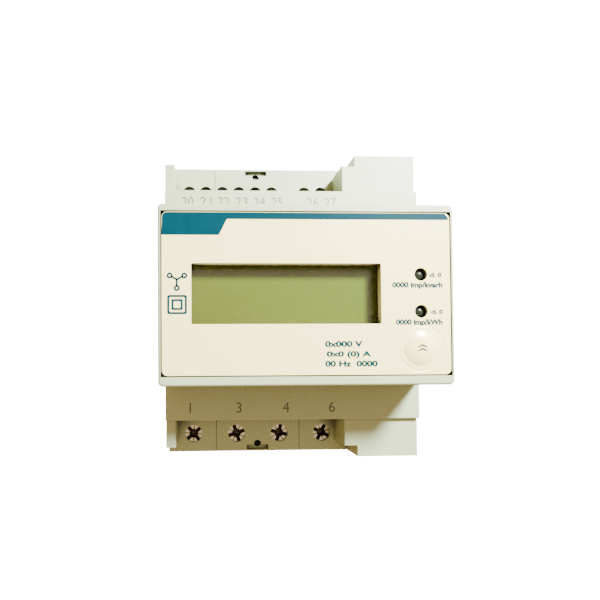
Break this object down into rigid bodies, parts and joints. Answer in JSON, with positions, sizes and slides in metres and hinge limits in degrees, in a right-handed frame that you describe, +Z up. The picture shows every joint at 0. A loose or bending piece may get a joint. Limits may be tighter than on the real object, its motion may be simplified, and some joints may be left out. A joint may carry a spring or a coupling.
{
  "type": "rail-mounted electricity meter",
  "caption": "Modular electricity meter for a 35 mm rail: stepped two-part case, recessed display, two pulse lamps, a foil button, rising-clamp screw terminals and a sprung rail clip.",
  "frame": {"origin": "centre of the rail seat, on the seat plane where the rail's front face rests", "axes": "+X to the right as the display is read, +Z up the panel, +Y back towards the rail; the display faces -Y"},
  "size_m": [0.072, 0.0667, 0.09],
  "materials": {
    "case_plastic": "fine-textured moulded polycarbonate",
    "plate_plastic": "smooth moulded",
    "foil": "printed polyester foil, satin",
    "clear_window": "clear acrylic",
    "display_glass": "polarised display glass",
    "holder_plastic": "moulded",
    "diffuser_plastic": "opal",
    "connector_rubber": "striped silicone",
    "circuit_board": "solder mask on glass fibre",
    "zinc_steel": "zinc plated",
    "terminal_screw": "yellow passivated",
    "spring_steel": "drawn wire",
    "copper": "tinned edges, bare copper",
    "brass": "stamped",
    "lamp_resin": "tinted epoxy",
    "button_plastic": "moulded",
    "black_plastic": "moulded",
    "terminal_plastic": "glass-filled nylon",
    "ring_plastic": "potted",
    "clip_plastic": "moulded nylon",
    "core_iron": "varnished laminations",
    "coil_tape": "polyester tape",
    "can_aluminium": "drawn can",
    "capacitor_plastic": "epoxy-filled box",
    "varistor_coating": "dipped epoxy"
  },
  "bodies": {
    "case": {"front_housing": "case_plastic", "rear_housing": "case_plastic", "clip_spring": "spring_steel", "current_bar_left": "copper", "current_bar_right": "copper", "current_transformer_left": "ring_plastic", "current_transformer_right": "ring_plastic", "signal_terminal_block": "terminal_plastic", "signal_contacts": "brass", "face_plate": "plate_plastic", "front_foil": "foil", "display_window": "clear_window", "lcd_glass": "display_glass", "lcd_holder": "holder_plastic", "backlight_plate": "diffuser_plastic", "zebra_strips": "connector_rubber", "display_board": "circuit_board", "display_screws": "zinc_steel", "pulse_led_upper": "lamp_resin", "pulse_led_lower": "lamp_resin", "switch_body": "black_plastic", "main_board": "circuit_board", "board_screws": "zinc_steel", "transformer_core": "core_iron", "transformer_coil": "coil_tape", "riser_board": "circuit_board", "filter_capacitor": "can_aluminium", "mains_capacitor": "capacitor_plastic", "varistor": "varistor_coating", "optocouplers": "black_plastic", "metering_chip": "black_plastic", "controller_chip": "black_plastic"},
    "button": {"select_button": "button_plastic", "button_dome": "foil", "switch_plunger": "black_plastic"},
    "clip": {"rail_clip": "clip_plastic"},
    "power_screw_1": {"power_screw_1": "terminal_screw"},
    "power_cage_1": {"power_cage_1": "zinc_steel"},
    "power_screw_3": {"power_screw_3": "terminal_screw"},
    "power_cage_3": {"power_cage_3": "zinc_steel"},
    "power_screw_4": {"power_screw_4": "terminal_screw"},
    "power_cage_4": {"power_cage_4": "zinc_steel"},
    "power_screw_6": {"power_screw_6": "terminal_screw"},
    "power_cage_6": {"power_cage_6": "zinc_steel"},
    "signal_screw_20": {"signal_screw_20": "terminal_screw"},
    "signal_cage_20": {"signal_cage_20": "zinc_steel"},
    "signal_screw_21": {"signal_screw_21": "terminal_screw"},
    "signal_cage_21": {"signal_cage_21": "zinc_steel"},
    "signal_screw_22": {"signal_screw_22": "terminal_screw"},
    "signal_cage_22": {"signal_cage_22": "zinc_steel"},
    "signal_screw_23": {"signal_screw_23": "terminal_screw"},
    "signal_cage_23": {"signal_cage_23": "zinc_steel"},
    "signal_screw_24": {"signal_screw_24": "terminal_screw"},
    "signal_cage_24": {"signal_cage_24": "zinc_steel"},
    "signal_screw_25": {"signal_screw_25": "terminal_screw"},
    "signal_cage_25": {"signal_cage_25": "zinc_steel"},
    "signal_screw_26": {"signal_screw_26": "terminal_screw"},
    "signal_cage_26": {"signal_cage_26": "zinc_steel"},
    "signal_screw_27": {"signal_screw_27": "terminal_screw"},
    "signal_cage_27": {"signal_cage_27": "zinc_steel"}
  },
  "joints": [
    {"name": "select_button_press", "type": "slide", "parent": "case", "child": "button", "axis": [0, 1, 0], "range_m": [0, 0.0005], "stiffness_N_per_m": 2500, "springref_m": -0.0001},
    {"name": "rail_clip_slide", "type": "slide", "parent": "case", "child": "clip", "axis": [0, 0, -1], "range_m": [0, 0.005], "stiffness_N_per_m": 1500, "springref_m": -0.003, "deforming": ["clip_spring"]},
    {"name": "power_screw_1_turn", "type": "hinge", "parent": "case", "child": "power_screw_1", "pos_m": [-0.0285, -0.028, -0.038], "axis": [0, 1, 0], "range_deg": [0, 2345]},
    {"name": "power_cage_1_rise", "type": "slide", "parent": "case", "child": "power_cage_1", "axis": [0, -1, 0], "range_m": [0, 0.00455]},
    {"name": "power_screw_3_turn", "type": "hinge", "parent": "case", "child": "power_screw_3", "pos_m": [-0.0154, -0.028, -0.038], "axis": [0, 1, 0], "range_deg": [0, 2345]},
    {"name": "power_cage_3_rise", "type": "slide", "parent": "case", "child": "power_cage_3", "axis": [0, -1, 0], "range_m": [0, 0.00455]},
    {"name": "power_screw_4_turn", "type": "hinge", "parent": "case", "child": "power_screw_4", "pos_m": [-0.0023, -0.028, -0.038], "axis": [0, 1, 0], "range_deg": [0, 2345]},
    {"name": "power_cage_4_rise", "type": "slide", "parent": "case", "child": "power_cage_4", "axis": [0, -1, 0], "range_m": [0, 0.00455]},
    {"name": "power_screw_6_turn", "type": "hinge", "parent": "case", "child": "power_screw_6", "pos_m": [0.0108, -0.028, -0.038], "axis": [0, 1, 0], "range_deg": [0, 2345]},
    {"name": "power_cage_6_rise", "type": "slide", "parent": "case", "child": "power_cage_6", "axis": [0, -1, 0], "range_m": [0, 0.00455]},
    {"name": "signal_screw_20_turn", "type": "hinge", "parent": "case", "child": "signal_screw_20", "pos_m": [-0.0295, -0.028, 0.0361], "axis": [0, 1, 0], "range_deg": [0, 1985]},
    {"name": "signal_cage_20_rise", "type": "slide", "parent": "case", "child": "signal_cage_20", "axis": [0, -1, 0], "range_m": [0, 0.00248]},
    {"name": "signal_screw_21_turn", "type": "hinge", "parent": "case", "child": "signal_screw_21", "pos_m": [-0.02442, -0.028, 0.0361], "axis": [0, 1, 0], "range_deg": [0, 1985]},
    {"name": "signal_cage_21_rise", "type": "slide", "parent": "case", "child": "signal_cage_21", "axis": [0, -1, 0], "range_m": [0, 0.00248]},
    {"name": "signal_screw_22_turn", "type": "hinge", "parent": "case", "child": "signal_screw_22", "pos_m": [-0.01934, -0.028, 0.0361], "axis": [0, 1, 0], "range_deg": [0, 1985]},
    {"name": "signal_cage_22_rise", "type": "slide", "parent": "case", "child": "signal_cage_22", "axis": [0, -1, 0], "range_m": [0, 0.00248]},
    {"name": "signal_screw_23_turn", "type": "hinge", "parent": "case", "child": "signal_screw_23", "pos_m": [-0.01426, -0.028, 0.0361], "axis": [0, 1, 0], "range_deg": [0, 1985]},
    {"name": "signal_cage_23_rise", "type": "slide", "parent": "case", "child": "signal_cage_23", "axis": [0, -1, 0], "range_m": [0, 0.00248]},
    {"name": "signal_screw_24_turn", "type": "hinge", "parent": "case", "child": "signal_screw_24", "pos_m": [-0.00918, -0.028, 0.0361], "axis": [0, 1, 0], "range_deg": [0, 1985]},
    {"name": "signal_cage_24_rise", "type": "slide", "parent": "case", "child": "signal_cage_24", "axis": [0, -1, 0], "range_m": [0, 0.00248]},
    {"name": "signal_screw_25_turn", "type": "hinge", "parent": "case", "child": "signal_screw_25", "pos_m": [-0.0041, -0.028, 0.0361], "axis": [0, 1, 0], "range_deg": [0, 1985]},
    {"name": "signal_cage_25_rise", "type": "slide", "parent": "case", "child": "signal_cage_25", "axis": [0, -1, 0], "range_m": [0, 0.00248]},
    {"name": "signal_screw_26_turn", "type": "hinge", "parent": "case", "child": "signal_screw_26", "pos_m": [0.00606, -0.028, 0.0361], "axis": [0, 1, 0], "range_deg": [0, 1985]},
    {"name": "signal_cage_26_rise", "type": "slide", "parent": "case", "child": "signal_cage_26", "axis": [0, -1, 0], "range_m": [0, 0.00248]},
    {"name": "signal_screw_27_turn", "type": "hinge", "parent": "case", "child": "signal_screw_27", "pos_m": [0.01114, -0.028, 0.0361], "axis": [0, 1, 0], "range_deg": [0, 1985]},
    {"name": "signal_cage_27_rise", "type": "slide", "parent": "case", "child": "signal_cage_27", "axis": [0, -1, 0], "range_m": [0, 0.00248]}
  ],
  "couplings": [
    {"joint": "power_screw_1_turn", "follows": "power_cage_1_rise", "rad_per_m": 8976},
    {"joint": "power_screw_3_turn", "follows": "power_cage_3_rise", "rad_per_m": 8976},
    {"joint": "power_screw_4_turn", "follows": "power_cage_4_rise", "rad_per_m": 8976},
    {"joint": "power_screw_6_turn", "follows": "power_cage_6_rise", "rad_per_m": 8976},
    {"joint": "signal_screw_20_turn", "follows": "signal_cage_20_rise", "rad_per_m": 13963},
    {"joint": "signal_screw_21_turn", "follows": "signal_cage_21_rise", "rad_per_m": 13963},
    {"joint": "signal_screw_22_turn", "follows": "signal_cage_22_rise", "rad_per_m": 13963},
    {"joint": "signal_screw_23_turn", "follows": "signal_cage_23_rise", "rad_per_m": 13963},
    {"joint": "signal_screw_24_turn", "follows": "signal_cage_24_rise", "rad_per_m": 13963},
    {"joint": "signal_screw_25_turn", "follows": "signal_cage_25_rise", "rad_per_m": 13963},
    {"joint": "signal_screw_26_turn", "follows": "signal_cage_26_rise", "rad_per_m": 13963},
    {"joint": "signal_screw_27_turn", "follows": "signal_cage_27_rise", "rad_per_m": 13963}
  ]
}
